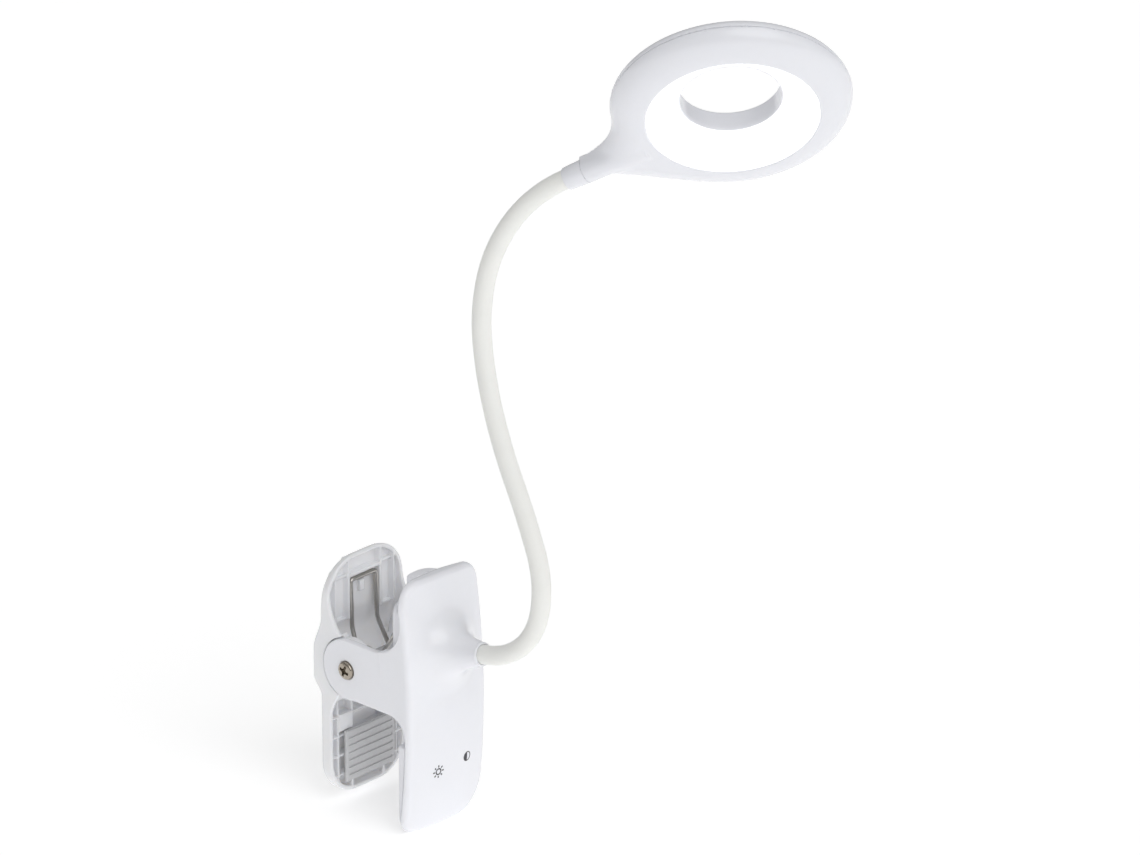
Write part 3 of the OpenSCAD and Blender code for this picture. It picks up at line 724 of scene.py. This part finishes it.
ON_STEM = HEAD @ move(-REACH, 0, 0) @ np.array(Matrix.Rotation(math.radians(90), 4, "Y"))
made = lathe("neck_collar_ring", [
    (3.66, 0.25), (3.9, 0.0), (4.1, 0.05), (4.25, 0.3), (4.45, 4), (4.6, 7.96), (4.56, 8.0), (3.1, 8.0),
    (3.1, 6.1), (3.66, 6.0)], SHELL, ON_STEM, 72)
finish_piece(made, "head", "shell_plastic", "neck_collar")

made = lathe("diffuser_ring", [
    (31.2, -3.9), (31.2, -2.4), (18.6, 6.6), (18.5, 5.4), (18.65, 5.1), (18.95, 4.95), (30.3, -3.75),
    (30.8, -3.9)],
    OPAL, HEAD, 180)
finish_piece(made, "head", "diffuser_opal", "diffuser")

made = lathe("hole_lip", [
    (18.3, 7.1), (18.24, 5.1), (18.3, 4.94), (18.44, 4.86), (18.66, 4.94), (18.75, 5.1), (18.75, 6.1),
    (18.55, 7.1)],
    SHADED_HEAD_PLASTIC, HEAD, 180)
finish_piece(made, "head", "shell_plastic")


# ---- Printed icons on the face ----

def print_icon(name, cx, cz, shapes):
    """Closed thin prints laid on the curved face. Each shape is a strip of point pairs [x, z]."""
    points, faces = [], []
    for strip in shapes:
        start = len(points)
        n = len(strip)
        for lift in (-0.05, 0.25):
            for a, b in strip:
                for x, z in (a, b):
                    points.append((cx + x, float(face(cx + x, cz + z)) + lift, cz + z))
        back = 2 * n
        for k in range(n - 1):
            a, b, c, d = start + 2 * k, start + 2 * k + 1, start + 2 * k + 3, start + 2 * k + 2
            faces.append([a, b, c, d])
            faces.append([a + back, d + back, c + back, b + back])
            faces.append([a, d, d + back, a + back])
            faces.append([b, b + back, c + back, c])
        faces.append([start, start + back, start + 1 + back, start + 1])
        e = start + 2 * (n - 1)
        faces.append([e, e + 1, e + 1 + back, e + back])
    made = add_mesh(name, points, faces, INK, smooth=False)
    return finish_piece(made, "clip_body", "shell_plastic")


def arc_strip(r0, r1, a0, a1, steps):
    return [((r0 * math.cos(t), r0 * math.sin(t)), (r1 * math.cos(t), r1 * math.sin(t)))
            for t in np.linspace(math.radians(a0), math.radians(a1), steps)]


def ray(a, r0, r1, half):
    c, s = math.cos(a), math.sin(a)
    return [((r * c - half * s, r * s + half * c), (r * c + half * s, r * s - half * c)) for r in (r0, r1)]


print_icon("icon_sun", -6.3, 2.0, [arc_strip(0.9, 1.4, 0, 360, 33)]
           + [ray(math.radians(45 * k), 1.75, 2.6, 0.27) for k in range(8)])
print_icon("icon_mode", 9.1, 3.0, [arc_strip(1.6, 1.95, 0, 360, 41), arc_strip(0.0, 1.65, 90, 270, 25)])


# ---- Camera, light and floor ----

AIM = np.array([71.0, -2.5, 114.3])
az, el, far = math.radians(-47), math.radians(23.3), 3518.5
back = np.array([math.sin(az) * math.cos(el), -math.cos(az) * math.cos(el), math.sin(el)])
camera = bpy.data.objects.new("camera", bpy.data.cameras.new("camera"))
bpy.context.scene.collection.objects.link(camera)
camera.data.lens = 300
camera.data.sensor_width = 36
camera.data.clip_start = 0.05
camera.data.clip_end = 50
camera.location = (AIM + back * far) * MM
camera.rotation_mode = "QUATERNION"
camera.rotation_quaternion = Vector(-back).to_track_quat("-Z", "Y")
bpy.context.scene.camera = camera


def area(name, spot, aim, wide, power, color=(1, 1, 1)):
    lamp = bpy.data.lights.new(name, "AREA")
    lamp.shape = "DISK"
    lamp.size = wide
    lamp.energy = power
    lamp.color = color
    made = bpy.data.objects.new(name, lamp)
    bpy.context.scene.collection.objects.link(made)
    made.location = spot
    made.rotation_mode = "QUATERNION"
    made.rotation_quaternion = (Vector(aim) - Vector(spot)).to_track_quat("-Z", "Y")
    return made


def soft_sun(name, power, angle, heading):
    lamp = bpy.data.lights.new(name, "SUN")
    lamp.energy = power
    lamp.angle = math.radians(angle)
    made = bpy.data.objects.new(name, lamp)
    bpy.context.scene.collection.objects.link(made)
    made.rotation_mode = "QUATERNION"
    made.rotation_quaternion = Vector(heading).to_track_quat("-Z", "Y")
    return made


soft_sun("key", 1.0, 50, (0.2, 0.72, -0.66))
soft_sun("overhead", 0.6, 90, (0, 0, -1))
area("softbox", (0.6, -1.4, 0.7), (0.02, 0, 0.1), 0.6, 0.3)

world = bpy.data.worlds.new("studio")
world.use_nodes = True
world.node_tree.nodes["Background"].inputs["Color"].default_value = (1, 1, 1, 1)
world.node_tree.nodes["Background"].inputs["Strength"].default_value = 0.25
bpy.context.scene.world = world
bpy.context.scene.view_settings.view_transform = "Standard"

FLOOR_HALF, FLOOR_Z = 12, -0.0218
corners = [(FLOOR_HALF * i, FLOOR_HALF * j, FLOOR_Z) for i, j in ((-1, -1), (1, -1), (1, 1), (-1, 1))]
floor_mesh = bpy.data.meshes.new("floor")
floor_mesh.from_pydata(corners, [], [[0, 1, 2, 3]])
floor = bpy.data.objects.new("floor", floor_mesh)
floor_mesh.materials.append(material("floor_paper", (0.92, 0.92, 0.92), 0.8, spread=0.003, depth=0.0, grain=3,
                                       glow=(1.0, 1.0, 1.0), glow_power=0.42))
bpy.context.scene.collection.objects.link(floor)
